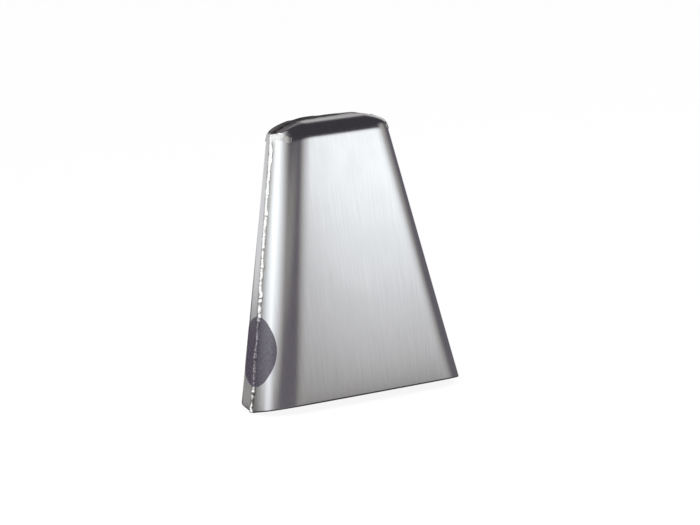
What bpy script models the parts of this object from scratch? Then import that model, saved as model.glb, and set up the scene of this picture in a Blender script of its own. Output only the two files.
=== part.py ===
"""Hand cowbell of brushed sheet steel, standing mouth down.

Two half shells are pressed from sheet. Each has a slightly crowned panel, bent sides and a bent-over
head. They meet at the plane y = 0 and are welded edge to edge up both sides and over the crown, and
the slit at each corner of the head is welded shut. A round film label is wrapped round the left seam.

The origin is in the middle of the mouth, level with the tips of the two side seams. The front panel
faces -Y, and the left seam is on -X. All lengths are in metres.
"""

import math
from typing import NamedTuple

import bmesh
import bpy
import numpy as np
from mathutils import Matrix, Vector

# The bell's outside, measured on the outer faces of the sheet
OVERALL_LENGTH = 0.200  # from the tips of the seams to the crown
MOUTH_WIDTH = 0.1578  # from seam to seam at the tips
HEAD_WIDTH = 0.0841  # from seam to seam, the seams carried on to the height of the crown
MOUTH_DEPTH = 0.0670  # from panel to panel at their rims, beside the crowning
HEAD_DEPTH = 0.0415  # from panel to panel where they fold over into the head
RIM_DIP = 0.0052  # the tips of the seams hang this far below the rims of the panels
PANEL_CROWNING = 0.0018  # bulge of a panel at its rim; it dies out towards the head

# The bends in the sheet
SHEET = 0.0015
SIDE_BEND_AT_MOUTH = 0.0183
SIDE_BEND_AT_HEAD = 0.0131
SIDE_LEAN_AT_MOUTH = math.radians(0.5)  # each side leans out towards the seam
SIDE_LEAN_AT_HEAD = math.radians(5.1)  # more so at the head, which makes the seam a low ridge there
HEAD_BEND = 0.0123
HEAD_PITCH = math.radians(4.9)  # the head rises this steeply from its bend to the crown
CROWN_LENGTH = 0.038  # straight part of the crown
HIP_DROP = 0.0078  # from the crown down to the top of a side seam
HIP_CURVE = 1.30  # power of the hip's fall, 1 for a straight hip

# The welds
ROOT_GAP = 0.0010  # open gap that a weld fills
BEAD_WIDTH = 0.0032
BEAD_HEIGHT = 0.0009
BEAD_SWELL = 0.16  # share by which a bead swells and narrows
BEAD_PITCH = 0.0080  # from swelling to swelling
CORNER_WELD_LENGTH = 0.0180  # from a seam, along the hip, to the end of a corner weld

# The label
LABEL_DIAMETER = 0.0490
LABEL_HEIGHT = 0.0424  # of its centre above the tips of the seams
FILM = 0.00015
DRAPE = 0.8  # how far beside the seam the film comes down off the bead, in widths of the bead

CLEARANCE = 0.0003  # between pieces that lie against each other
OVERSHOOT = 0.0030  # how far sheets and cutters run past where they are cut
MERGE = 0.0000002  # points closer than this are one point

# How finely the surfaces are divided
SIDE_STEPS = 11
BEND_STEPS = 8
FLANGE_STEPS = 2
FAN_STEPS = 6
CROWN_STEPS = 10
BEAD_CAP_STEPS = 6
LABEL_ROWS = 12
LABEL_COLUMNS_ON_BEAD = 4  # on each side of the seam
LABEL_COLUMNS_BESIDE_BEAD = 9
SHARP_ANGLE = math.radians(30)  # edges that turn more than this are shaded as edges


def linear(start, end, share):
    return start + (end - start) * share


class Bend(NamedTuple):
    """An arc that leaves the panel at the angle start, and a straight flange that goes on from it."""

    radius: float
    start: float
    turn: float
    flange: float

    def length(self):
        return self.radius * (self.turn - self.start) + self.flange

    def at(self, distance):
        """Outward travel, travel in depth and angle after a distance along the bend."""
        angle = min(self.start + distance / self.radius, self.turn)
        rest = distance - self.radius * (angle - self.start)
        out = self.radius * (math.sin(angle) - math.sin(self.start)) + rest * math.cos(angle)
        depth = self.radius * (math.cos(self.start) - math.cos(angle)) + rest * math.sin(angle)
        return out, depth, angle


def bend_spread(radius, depth, lean):
    """How far out a bend and its flange reach, when the flange leans out and spans the depth."""
    flange_depth = depth - radius * (1 - math.sin(lean))
    return radius * math.cos(lean) + flange_depth * math.tan(lean)


def bend_through(spread, depth, radius, start=0.0):
    """The bend of that radius whose flange ends at (spread, depth): a tangent from a point to a circle."""
    radius = min(radius, spread, depth)
    across = spread + radius * math.sin(start)
    down = depth - radius * math.cos(start)
    reach = math.hypot(across, down)
    turn = math.pi / 2 + math.atan2(down, across) - math.acos(min(1.0, radius / reach))
    flange = math.sqrt(max(0.0, reach**2 - radius**2))
    return Bend(radius, start, turn, flange)


class Ruling(NamedTuple):
    """A line across the bent part of a front half shell, from the panel's edge to the seam.

    Seen from the front it is straight, from the inner to the outer point, both given as (x, z).
    """

    inner: tuple
    outer: tuple
    half_depth: float
    bend: Bend

    def direction(self):
        across = self.outer[0] - self.inner[0]
        up = self.outer[1] - self.inner[1]
        spread = math.hypot(across, up)
        return across / spread, up / spread

    def at(self, distance):
        """Point and outward normal at a distance from the panel's edge."""
        out, depth, angle = self.bend.at(distance)
        along_x, along_z = self.direction()
        point = (self.inner[0] + along_x * out, depth - self.half_depth, self.inner[1] + along_z * out)
        normal = (along_x * math.sin(angle), -math.cos(angle), along_z * math.sin(angle))
        return Vector(point), Vector(normal)

    def sideways(self):
        """The direction square to the line that stays in the sheet all along it."""
        along_x, along_z = self.direction()
        return Vector((-along_z, 0.0, along_x))

    def mirrored(self):
        """The same line on the other side of the bell."""
        return self._replace(inner=(-self.inner[0], self.inner[1]), outer=(-self.outer[0], self.outer[1]))


HEAD_RISE = bend_spread(HEAD_BEND, HEAD_DEPTH / 2, HEAD_PITCH)
FOLD_HEIGHT = OVERALL_LENGTH - HEAD_RISE
SEAM_TOP = OVERALL_LENGTH - HIP_DROP
SEAM_TAPER = (MOUTH_WIDTH - HEAD_WIDTH) / 2 / OVERALL_LENGTH
SEAM_TILT = math.atan(SEAM_TAPER)
RIM_TILT = math.atan2(RIM_DIP, (MOUTH_DEPTH - ROOT_GAP) / 2)


def seam_half_width(height):
    return MOUTH_WIDTH / 2 - SEAM_TAPER * height


def panel_half_depth(height):
    share = (height - RIM_DIP) / (FOLD_HEIGHT - RIM_DIP)
    return linear(MOUTH_DEPTH / 2, HEAD_DEPTH / 2, share)


def panel_crowning(height):
    return PANEL_CROWNING * (FOLD_HEIGHT - height) / (FOLD_HEIGHT - RIM_DIP)


HIP_FOOT = seam_half_width(SEAM_TOP)


def crown_height(x):
    """Height of the seam over the head: straight in the middle, falling along the hips."""
    beyond = max(0.0, abs(x) - CROWN_LENGTH / 2)
    share = beyond / (HIP_FOOT - CROWN_LENGTH / 2)
    return OVERALL_LENGTH - HIP_DROP * share**HIP_CURVE


def side_ruling(share):
    """A line across the right side; share is 0 at the mouth and 1 at the head's corner."""
    inner_height = share * FOLD_HEIGHT
    outer_height = share * SEAM_TOP
    half_depth = panel_half_depth(inner_height)
    radius = linear(SIDE_BEND_AT_MOUTH, SIDE_BEND_AT_HEAD, share)
    seam_x = seam_half_width(outer_height)
    lean = linear(SIDE_LEAN_AT_MOUTH, SIDE_LEAN_AT_HEAD, share)
    panel_x = seam_x - bend_spread(radius, half_depth, lean)
    spread = math.hypot(seam_x - panel_x, outer_height - inner_height)
    start = math.atan(2 * panel_crowning(inner_height) / panel_x)
    bend = bend_through(spread, half_depth, radius, start)
    return Ruling((panel_x, inner_height), (seam_x, outer_height), half_depth, bend)


HIP_RULING = side_ruling(1.0)
PANEL_CORNER_X = HIP_RULING.inner[0]


def head_ruling(inner_x, outer_x):
    """A line over the head, from the fold or its corner to the seam over the crown."""
    half_depth = HEAD_DEPTH / 2
    outer_z = crown_height(outer_x)
    across = abs(outer_x - inner_x)
    up = outer_z - FOLD_HEIGHT
    share = math.atan2(up, across) / (math.pi / 2)
    radius = linear(SIDE_BEND_AT_HEAD, HEAD_BEND, share)
    bend = bend_through(math.hypot(across, up), half_depth, radius)
    return Ruling((inner_x, FOLD_HEIGHT), (outer_x, outer_z), half_depth, bend)


def side_shares():
    """Shares of the height of a side, from below the tips of the seams to the head's corner."""
    return np.linspace(-OVERSHOOT / SEAM_TOP, 1.0, SIDE_STEPS + 1)


def wall_rulings():
    """All lines across the bent part: up the left side, round and over the head, down the right side."""
    right = [side_ruling(share) for share in side_shares()]
    fan = [
        head_ruling(PANEL_CORNER_X, outer_x)
        for outer_x in np.linspace(HIP_FOOT, PANEL_CORNER_X, FAN_STEPS + 1)[1:-1]
    ]
    over = [head_ruling(x, x) for x in np.linspace(-PANEL_CORNER_X, PANEL_CORNER_X, CROWN_STEPS + 1)]
    right_half = right + fan
    left_half = [ruling.mirrored() for ruling in right_half]
    return left_half + over + right_half[::-1]


def bend_stations(bend):
    """Distances along a bend: even on its arc, even on its flange, and one past the seam."""
    arc = bend.length() - bend.flange
    on_arc = np.linspace(0.0, arc, BEND_STEPS + 1)
    on_flange = np.linspace(arc, bend.length(), FLANGE_STEPS + 1)[1:]
    return np.concatenate([on_arc, on_flange, [bend.length() + OVERSHOOT]])


def wall_points():
    columns = []
    for ruling in wall_rulings():
        columns.append([ruling.at(distance)[0] for distance in bend_stations(ruling.bend)])
    return np.array(columns).transpose(1, 0, 2)


def panel_points():
    """The crowned panel: rows up the bell, columns from its left bend to its right one."""
    shares = np.linspace(-1.0, 1.0, CROWN_STEPS + 1)
    rows = []
    for height_share in side_shares():
        edge = side_ruling(height_share)
        panel_x, height = edge.inner
        crowning = panel_crowning(height) * (1 - shares**2)
        rows.append(np.stack([shares * panel_x, -edge.half_depth - crowning, np.full_like(shares, height)], 1))
    return np.array(rows)


def add_surface(bm, points):
    """A sheet of faces through an array of points: its normals are columns crossed with rows."""
    rows, columns = points.shape[:2]
    grid = bmesh.ops.create_grid(bm, x_segments=columns - 1, y_segments=rows - 1, size=1.0)
    for vertex in grid["verts"]:
        column = round((vertex.co.x + 1) / 2 * (columns - 1))
        row = round((vertex.co.y + 1) / 2 * (rows - 1))
        vertex.co = points[row, column]


def steel(name, colour, roughness, metallic):
    material = bpy.data.materials.new(name)
    material.use_nodes = True
    shader = material.node_tree.nodes["Principled BSDF"]
    shader.inputs["Base Color"].default_value = (*colour, 1.0)
    shader.inputs["Roughness"].default_value = roughness
    shader.inputs["Metallic"].default_value = metallic
    return material


def add_object(name, mesh, collection, material=None):
    mesh.shade_smooth()
    mesh.set_sharp_from_angle(angle=SHARP_ANGLE)
    if material:
        mesh.materials.append(material)
    made = bpy.data.objects.new(name, mesh)
    collection.objects.link(made)
    return made


def mesh_from(bm, name):
    mesh = bpy.data.meshes.new(name)
    bm.to_mesh(mesh)
    bm.free()
    return mesh


def box_cutter(name, size, placing, collection):
    """A box of that size, centred on the origin of placing, which the shell is cut with."""
    bm = bmesh.new()
    bmesh.ops.create_cube(bm, size=1.0)
    bmesh.ops.transform(bm, matrix=placing @ Matrix.Diagonal((*size, 1.0)), verts=bm.verts)
    cutter = add_object(name, mesh_from(bm, name), collection)
    cutter.hide_render = True
    cutter.display_type = "WIRE"
    return cutter


def seam_cutter(collection):
    """Everything behind the front shell's edge, half a root gap before the plane y = 0."""
    size = (MOUTH_WIDTH * 2, MOUTH_DEPTH * 2, OVERALL_LENGTH * 2)
    placing = Matrix.Translation((0, size[1] / 2 - ROOT_GAP / 2, OVERALL_LENGTH / 2))
    return box_cutter("seam_cutter", size, placing, collection)


def rim_cutter(collection):
    """Everything below the rim, which lies in one plane from the seam tips up to the panel's rim."""
    size = (MOUTH_WIDTH * 2, MOUTH_DEPTH * 2, OVERALL_LENGTH)
    tips = Matrix.Translation((0, -ROOT_GAP / 2, 0))
    below = Matrix.Translation((0, 0, -size[2] / 2))
    return box_cutter("rim_cutter", size, tips @ Matrix.Rotation(-RIM_TILT, 4, "X") @ below, collection)


def corner_slit_cutter(name, ruling, collection):
    """A slab along a hip. It starts square to the sheet, at the end of the corner weld."""
    point, normal = ruling.at(ruling.bend.length() - CORNER_WELD_LENGTH)
    sideways = ruling.sideways()
    along = sideways.cross(normal)
    size = (2 * CORNER_WELD_LENGTH, ROOT_GAP, HEAD_DEPTH)
    axes = Matrix((along, sideways, normal)).transposed().to_4x4()
    placing = Matrix.Translation(point) @ axes @ Matrix.Translation((size[0] / 2, 0, 0))
    return box_cutter(name, size, placing, collection)


def make_front_shell(collection, cutters, material):
    bm = bmesh.new()
    add_surface(bm, panel_points())
    add_surface(bm, wall_points())
    bmesh.ops.remove_doubles(bm, verts=bm.verts, dist=MERGE)
    shell = add_object("front_shell", mesh_from(bm, "front_shell"), collection, material)
    wall = shell.modifiers.new("sheet", "SOLIDIFY")
    wall.thickness = SHEET
    wall.offset = -1.0
    wall.use_even_offset = True
    shell.modifiers.new("flat_faces", "TRIANGULATE")
    cuts = [
        seam_cutter(cutters),
        rim_cutter(cutters),
        corner_slit_cutter("right_slit_cutter", HIP_RULING, cutters),
        corner_slit_cutter("left_slit_cutter", HIP_RULING.mirrored(), cutters),
    ]
    for cutter in cuts:
        cut = shell.modifiers.new(cutter.name, "BOOLEAN")
        cut.operation = "DIFFERENCE"
        cut.solver = "EXACT"
        cut.object = cutter
    return shell


def mirrored_copy(source, name, axis, collection, material):
    """The finished shape of source, mirrored in the plane through the origin square to axis."""
    graph = bpy.context.evaluated_depsgraph_get()
    mesh = bpy.data.meshes.new_from_object(source.evaluated_get(graph))
    mesh.name = name
    mesh.transform(Matrix.Scale(-1.0, 4, axis))
    mesh.flip_normals()
    mesh.materials.clear()
    return add_object(name, mesh, collection, material)


def bead_section(swell):
    """A weld's section as (sideways, outward): a root that fills the gap and a rounded cap on top."""
    root = ROOT_GAP / 2 - CLEARANCE
    half = BEAD_WIDTH / 2 * swell
    turns = np.linspace(0.0, math.pi, BEAD_CAP_STEPS + 1)
    cap = np.stack([half * np.cos(turns), CLEARANCE + BEAD_HEIGHT * swell * np.sin(turns)], 1)
    right_root = np.array([[root, -SHEET], [root, CLEARANCE]])
    left_root = right_root[::-1] * (-1, 1)
    return np.concatenate([right_root, cap, left_root, right_root[:1]])


def make_weld(name, path, outward, sideways, collection, material):
    """A bead along a path. Its rings stand on the outward directions, with swellings at each pitch."""
    runs = np.concatenate([[0.0], np.cumsum(np.linalg.norm(np.diff(path, axis=0), axis=1))])
    rings = []
    for point, up, run in zip(path, outward, runs):
        swell = 1 + BEAD_SWELL * math.cos(2 * math.pi * run / BEAD_PITCH)
        section = bead_section(swell)
        rings.append(point + section[:, :1] * sideways + section[:, 1:] * up)
    bm = bmesh.new()
    add_surface(bm, np.array(rings))
    bmesh.ops.remove_doubles(bm, verts=bm.verts, dist=MERGE)
    bmesh.ops.holes_fill(bm, edges=bm.edges, sides=0)
    bmesh.ops.recalc_face_normals(bm, faces=bm.faces)
    return add_object(name, mesh_from(bm, name), collection, material)


def bead_stations(length):
    """Shares of a bead's length at its swellings and at the narrow places between them."""
    return np.linspace(0.0, 1.0, 1 + 2 * max(2, round(length / BEAD_PITCH)))


def make_right_seam_weld(collection, material):
    low = CLEARANCE + SHEET * math.sin(SEAM_TILT)
    heights = linear(low, SEAM_TOP - CLEARANCE, bead_stations(SEAM_TOP))
    path = np.stack([seam_half_width(heights), 0 * heights, heights], 1)
    outward = np.tile([math.cos(SEAM_TILT), 0.0, math.sin(SEAM_TILT)], (len(path), 1))
    sideways = np.array([0.0, 1.0, 0.0])
    return make_weld("right_seam_weld", path, outward, sideways, collection, material)


def make_crown_weld(collection, material):
    """From hip to hip over the crown, stopping short of the two side seams."""
    end = HIP_FOOT - SHEET - BEAD_HEIGHT * (1 + BEAD_SWELL) - 2 * CLEARANCE
    xs = linear(-end, end, bead_stations(2 * end))
    path = np.array([[x, 0.0, crown_height(x)] for x in xs])
    slopes = np.gradient(path[:, 2], path[:, 0])
    outward = np.stack([-slopes, 0 * slopes, np.ones_like(slopes)], 1)
    outward /= np.linalg.norm(outward, axis=1, keepdims=True)
    sideways = np.array([0.0, 1.0, 0.0])
    return make_weld("crown_weld", path, outward, sideways, collection, material)


def make_front_right_corner_weld(collection, material):
    """Along the hip, from the slit's end to just before the welds in the plane y = 0."""
    total = HIP_RULING.bend.length()
    stop = (BEAD_WIDTH / 2 + BEAD_HEIGHT) * (1 + BEAD_SWELL) + CLEARANCE
    start = CORNER_WELD_LENGTH - CLEARANCE
    distances = total - linear(start, stop, bead_stations(start - stop))
    places = [HIP_RULING.at(distance) for distance in distances]
    return make_weld(
        "front_right_corner_weld",
        np.array([point for point, normal in places]),
        np.array([normal for point, normal in places]),
        np.array(HIP_RULING.sideways()),
        collection,
        material,
    )


def label_lift(across):
    """The film lies close to the steel and drapes over the bead of the seam."""
    over_bead = BEAD_HEIGHT * (1 + BEAD_SWELL) + CLEARANCE
    return CLEARANCE + over_bead * math.exp(-((across / (DRAPE * BEAD_WIDTH)) ** 2))


def label_point(across, along):
    """A place on the film; across is measured round the bell from the seam, positive to the front."""
    height = LABEL_HEIGHT + along * math.cos(SEAM_TILT)
    ruling = side_ruling(height / SEAM_TOP).mirrored()
    point, normal = ruling.at(ruling.bend.length() - abs(across))
    # The two sides meet in a ridge at the seam, where the film faces straight out.
    normal.y *= min(1.0, abs(across) / BEAD_WIDTH)
    point += normal.normalized() * label_lift(across)
    point.y *= math.copysign(1.0, across)
    return point


def label_stations():
    """Distances from the seam to the label's columns: even over the bead, then even round the disc."""
    radius = LABEL_DIAMETER / 2
    bead_edge = min(2 * DRAPE * BEAD_WIDTH, radius / 2)
    over_bead = np.linspace(0.0, bead_edge, LABEL_COLUMNS_ON_BEAD + 1)
    turns = np.linspace(math.asin(bead_edge / radius), math.pi / 2, LABEL_COLUMNS_BESIDE_BEAD + 1)
    one_side = np.concatenate([over_bead, radius * np.sin(turns[1:])])
    return np.concatenate([-one_side[:0:-1], one_side])


def make_side_label(collection, material):
    """A disc of film: columns that run along the seam, each as long as the disc there."""
    radius = LABEL_DIAMETER / 2
    columns = []
    for across in label_stations():
        half_chord = math.sqrt(max(0.0, radius**2 - across**2))
        rows = np.linspace(-half_chord, half_chord, LABEL_ROWS + 1)
        columns.append([label_point(across, along) for along in rows])
    bm = bmesh.new()
    add_surface(bm, np.array(columns)[::-1].transpose(1, 0, 2))
    bmesh.ops.remove_doubles(bm, verts=bm.verts, dist=MERGE)
    bmesh.ops.recalc_face_normals(bm, faces=bm.faces)
    label = add_object("side_label", mesh_from(bm, "side_label"), collection, material)
    film = label.modifiers.new("film", "SOLIDIFY")
    film.thickness = FILM
    film.offset = 1.0
    return label


def build():
    for old in list(bpy.data.objects):
        bpy.data.objects.remove(old)
    parts = bpy.data.collections.new("hand_cowbell")
    cutters = bpy.data.collections.new("cutters")
    for collection in (parts, cutters):
        bpy.context.scene.collection.children.link(collection)

    brushed = steel("brushed_steel", (0.60, 0.60, 0.61), 0.30, 1.0)
    weld = steel("weld_steel", (0.42, 0.40, 0.38), 0.42, 1.0)
    film = steel("smoke_film", (0.13, 0.11, 0.15), 0.22, 0.0)

    x_axis, y_axis = Vector((1, 0, 0)), Vector((0, 1, 0))
    front = make_front_shell(parts, cutters, brushed)
    mirrored_copy(front, "back_shell", y_axis, parts, brushed)

    right_seam = make_right_seam_weld(parts, weld)
    mirrored_copy(right_seam, "left_seam_weld", x_axis, parts, weld)
    make_crown_weld(parts, weld)
    front_right = make_front_right_corner_weld(parts, weld)
    front_left = mirrored_copy(front_right, "front_left_corner_weld", x_axis, parts, weld)
    mirrored_copy(front_right, "back_right_corner_weld", y_axis, parts, weld)
    mirrored_copy(front_left, "back_left_corner_weld", y_axis, parts, weld)
    make_side_label(parts, film)


build()
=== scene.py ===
"""Hand cowbell of brushed sheet steel: its visible pieces, a plain studio and the camera.

Lengths are in metres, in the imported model's frame: the origin is the middle of the mouth, +Z runs
up to the head, the front panel faces -Y and the label is wrapped round the seam on -X.
"""

import math

import bmesh
import bpy
import numpy as np
from mathutils import Matrix


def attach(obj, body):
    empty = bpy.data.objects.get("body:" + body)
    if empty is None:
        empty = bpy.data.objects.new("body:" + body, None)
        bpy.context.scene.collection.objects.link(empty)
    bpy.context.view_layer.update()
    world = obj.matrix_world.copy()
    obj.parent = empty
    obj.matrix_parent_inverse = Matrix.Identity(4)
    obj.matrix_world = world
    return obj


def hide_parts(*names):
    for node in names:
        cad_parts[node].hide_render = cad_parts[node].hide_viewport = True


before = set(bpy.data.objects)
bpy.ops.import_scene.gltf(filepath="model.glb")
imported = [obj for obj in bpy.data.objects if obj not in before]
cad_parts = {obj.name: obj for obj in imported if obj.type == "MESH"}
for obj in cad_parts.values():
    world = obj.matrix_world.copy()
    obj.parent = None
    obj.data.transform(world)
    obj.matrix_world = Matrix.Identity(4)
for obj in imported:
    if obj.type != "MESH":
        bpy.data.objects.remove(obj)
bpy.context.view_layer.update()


# Front half shell.
# Pressed from one blank of 1.5 mm steel sheet: a panel, slightly crowned at the mouth, two sides
# bent back from it and a head bent over it. It is brushed lengthwise, and its rim is cut in one
# plane that rises from the tips of the seams.

BELL_LENGTH = 0.200
MOUTH_WIDTH, HEAD_WIDTH = 0.1578, 0.0841
MOUTH_DEPTH, HEAD_DEPTH = 0.0670, 0.0415
RIM_DIP = 0.0052
PANEL_CROWNING = 0.0018
SHEET = 0.0015
SIDE_BEND = 0.0183, 0.0131  # at the mouth and at the head, and so is the lean
SIDE_LEAN = math.radians(0.5), math.radians(5.1)
HEAD_BEND = 0.0123
HEAD_PITCH = math.radians(4.9)
CROWN_LENGTH = 0.038
HIP_DROP = 0.0078
HIP_CURVE = 1.55
ROOT_GAP = 0.0010
PANEL_ROLL = 0.0150
HEAD_ROLL = 0.0036
OUTER_EDGE, INNER_EDGE = 0.0008, 0.0003

SIDE_ROWS, ROLL_ROWS, BEND_COLUMNS, FLANGE_COLUMNS = 90, 14, 30, 8
FAN_ROWS, PANEL_COLUMNS = 26, 70
EDGE_STEPS = 4
RIM_STRIP, SEAM_STRIP = 0.002, 0.03  # narrow strips at the cut edges, as shares of side and flange
RIM_CORRECTIONS = 12
MEETING = 1e-7


def between(low, high, share):
    """The value that lies a share of the way from low to high."""
    return low + (high - low) * share


def bend_reach(radius, depth, lean):
    """How far out a bend and its leaning flange reach while they go back by depth: the arc's reach,
    and the rest of the depth times the lean's slope."""
    return radius * np.cos(lean) + (depth - radius * (1 - np.sin(lean))) * np.tan(lean)


HEAD_RISE = bend_reach(HEAD_BEND, HEAD_DEPTH / 2, HEAD_PITCH)
PANEL_LEAN = math.atan((MOUTH_DEPTH - HEAD_DEPTH) / 2 / (BELL_LENGTH - HEAD_RISE - RIM_DIP))
PANEL_TOP = BELL_LENGTH - HEAD_RISE + HEAD_BEND * math.sin(PANEL_LEAN)
HEAD_SLOPE = math.tan(PANEL_LEAN) + HEAD_ROLL / (2 * HEAD_BEND)
FOLD_HEIGHT = BELL_LENGTH - HEAD_RISE + HEAD_BEND * math.sin(math.atan(HEAD_SLOPE))
SEAM_TOP = BELL_LENGTH - HIP_DROP
SEAM_TAPER = (MOUTH_WIDTH - HEAD_WIDTH) / 2 / BELL_LENGTH
SEAM_TILT = math.atan(SEAM_TAPER)


def seam_half_width(height):
    """How far the seam stands from the middle: half the mouth's width, less an even taper."""
    return MOUTH_WIDTH / 2 - SEAM_TAPER * height


def head_roll(height):
    """How much of the roll under the head's bend a height has reached, from 0 to 1 at the fold."""
    return np.maximum(0, 1 - (FOLD_HEIGHT - height) / HEAD_ROLL)


def panel_half_depth(height):
    """The panel's plane, less a cubic under the head's bend, so that its curvature grows evenly to
    the bend's."""
    plane = between(MOUTH_DEPTH, HEAD_DEPTH, (height - RIM_DIP) / (PANEL_TOP - RIM_DIP)) / 2
    return plane - HEAD_ROLL**2 / (6 * HEAD_BEND) * head_roll(height) ** 3


def crowning(height):
    """How far the panel's middle stands out: most at the rim, and evenly less up to the fold."""
    return PANEL_CROWNING * (FOLD_HEIGHT - height) / (FOLD_HEIGHT - RIM_DIP)


def rolled_off(x, edge, radius):
    """How far the panel has rolled down at x towards a bend of that radius at its edge: a cubic, so
    that its curvature grows evenly to the bend's."""
    return PANEL_ROLL**2 / (6 * radius) * np.maximum(0, 1 - (edge - np.abs(x)) / PANEL_ROLL) ** 3


def roll_slope(radius):
    """The panel's slope at its edge, where it has rolled into the bend."""
    return PANEL_ROLL / (2 * radius)


def rim_height(depth):
    """The rim's plane: it rises evenly with the depth, from the edge at the seam to the panel."""
    return RIM_DIP * (np.abs(depth) - ROOT_GAP / 2) / ((MOUTH_DEPTH - ROOT_GAP) / 2)


HIP_FOOT = seam_half_width(SEAM_TOP)


def crown_height(x):
    """The seam over the head: level in the middle, then falling as a power of the way out to the
    hip's foot."""
    beyond = np.maximum(0, np.abs(x) - CROWN_LENGTH / 2) / (HIP_FOOT - CROWN_LENGTH / 2)
    return BELL_LENGTH - HIP_DROP * beyond**HIP_CURVE


OUTER_FACE = 0.0, 0.0
MIRROR = np.array([-1, 1, 1])


def sheet_line(inner, outer, half_depth, radius, slopes, station, layer):
    """Points on a line from the panel's edge to the seam: an arc that leaves the panel along its
    slope, then a flange along the arc's tangent, which ends half a root gap before the seam.

    inner and outer are the line's ends as (x, z), and slopes are the panel's falls across and up.
    Station 0 to 1 goes round the arc, 1 to 2 along the flange. layer gives the depth under the
    outer face, at which the arc keeps its centre, and how far the flange is trimmed back. Gives the
    points, the directions out of the sheet there, and the places on the flat blank with the
    distance left to the seam.
    """
    inside, trim = layer
    reach = np.hypot(outer[0] - inner[0], outer[1] - inner[1])
    along_x, along_z = (outer[0] - inner[0]) / reach, (outer[1] - inner[1]) / reach
    start = np.arctan(slopes[0] * along_x + slopes[1] * along_z)
    largest = np.minimum(reach / (1 - np.sin(start)), half_depth / np.cos(start))
    radius = np.minimum(radius, largest)
    across = reach + radius * np.sin(start)
    down = half_depth - radius * np.cos(start)
    span = np.hypot(across, down)
    end = np.pi / 2 + np.arctan2(down, across) - np.arccos(radius / span)
    bend = radius - inside
    flange = (down + bend * np.cos(end) - ROOT_GAP / 2) / np.sin(end) - trim
    angle = between(start, end, np.clip(station, 0, 1))
    straight = flange * np.clip(station - 1, 0, 1)
    out = bend * np.sin(angle) - radius * np.sin(start) + straight * np.cos(angle)
    depth = straight * np.sin(angle) - bend * np.cos(angle) - down
    run = radius * (angle - start) + straight
    left = radius * (end - start) + flange - run
    places = inner[0] + along_x * out, depth, inner[1] + along_z * out
    outward = along_x * np.sin(angle), -np.cos(angle), along_z * np.sin(angle)
    blank = inner[0] + along_x * run, inner[1] + along_z * run, left
    return tuple(np.stack(np.broadcast_arrays(*parts), -1) for parts in (places, outward, blank))


def side_line(share, station, layer=OUTER_FACE):
    """The right side, share 0 at the mouth and 1 at the head's corner: a sheet line, whose bend
    tightens on the way up."""
    inner_z, outer_z = share * FOLD_HEIGHT, share * SEAM_TOP
    half_depth = panel_half_depth(inner_z)
    radius = between(*SIDE_BEND, share)
    outer_x = seam_half_width(outer_z)
    flat_x = outer_x - bend_reach(radius, half_depth, between(*SIDE_LEAN, share))
    inner_x = flat_x + radius * np.sin(np.arctan(roll_slope(radius)))
    rise_slope = between(math.tan(PANEL_LEAN), HEAD_SLOPE, head_roll(inner_z) ** 2)
    slopes = roll_slope(radius) + 2 * crowning(inner_z) / inner_x, rise_slope
    half_depth = half_depth - rolled_off(inner_x, inner_x, radius)
    inner, outer = (inner_x, inner_z), (outer_x, outer_z)
    return sheet_line(inner, outer, half_depth, radius, slopes, station, layer)


def head_line(inner_x, outer_x, station, layer=OUTER_FACE):
    """The head, from the fold or its right corner to the crown: a sheet line, whose bend goes from
    the side's radius to the head's as the line turns upright."""
    outer_z = crown_height(outer_x)
    turn = np.arctan2(outer_z - FOLD_HEIGHT, outer_x - inner_x) / (np.pi / 2)
    radius = between(SIDE_BEND[1], HEAD_BEND, turn)
    rolled = rolled_off(inner_x, PANEL_CORNER_X, SIDE_BEND[1])
    half_depth = panel_half_depth(FOLD_HEIGHT) - rolled
    slopes = roll_slope(SIDE_BEND[1]), HEAD_SLOPE
    inner, outer = (inner_x, FOLD_HEIGHT), (outer_x, outer_z)
    return sheet_line(inner, outer, half_depth, radius, slopes, station, layer)


PANEL_CORNER_X = side_line(np.float64(1), np.float64(0))[0][0]


def panel_line(share, across, layer=OUTER_FACE):
    """The panel, across -1 to 1 between its bends: a parabola that flattens out towards the head,
    rolled off at both edges."""
    edge, outward, blank = side_line(share, np.zeros_like(across), layer)
    edge_x, depth, height = np.moveaxis(edge, -1, 0)
    x = edge_x * across
    radius = between(*SIDE_BEND, share)
    parabola = crowning(blank[..., 1]) * (1 - across**2)
    bulge = parabola + rolled_off(edge_x, edge_x, radius) - rolled_off(x, edge_x, radius)
    to_seam = blank[..., 2] + edge_x * (1 - np.abs(across))
    places = np.stack([x, depth - bulge, height], -1)
    return places, outward, np.stack([x, height, to_seam], -1)


def rim_share(line, station, layer):
    """The share at which a line's surface meets the rim's plane, or ends as far above it as the
    layer is trimmed, by repeated correction."""
    share = np.zeros_like(station)
    for _ in range(RIM_CORRECTIONS):
        place = line(share, station, layer)[0]
        share = share - (place[..., 2] - rim_height(place[..., 1]) - layer[1]) / FOLD_HEIGHT
    return share


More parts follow.
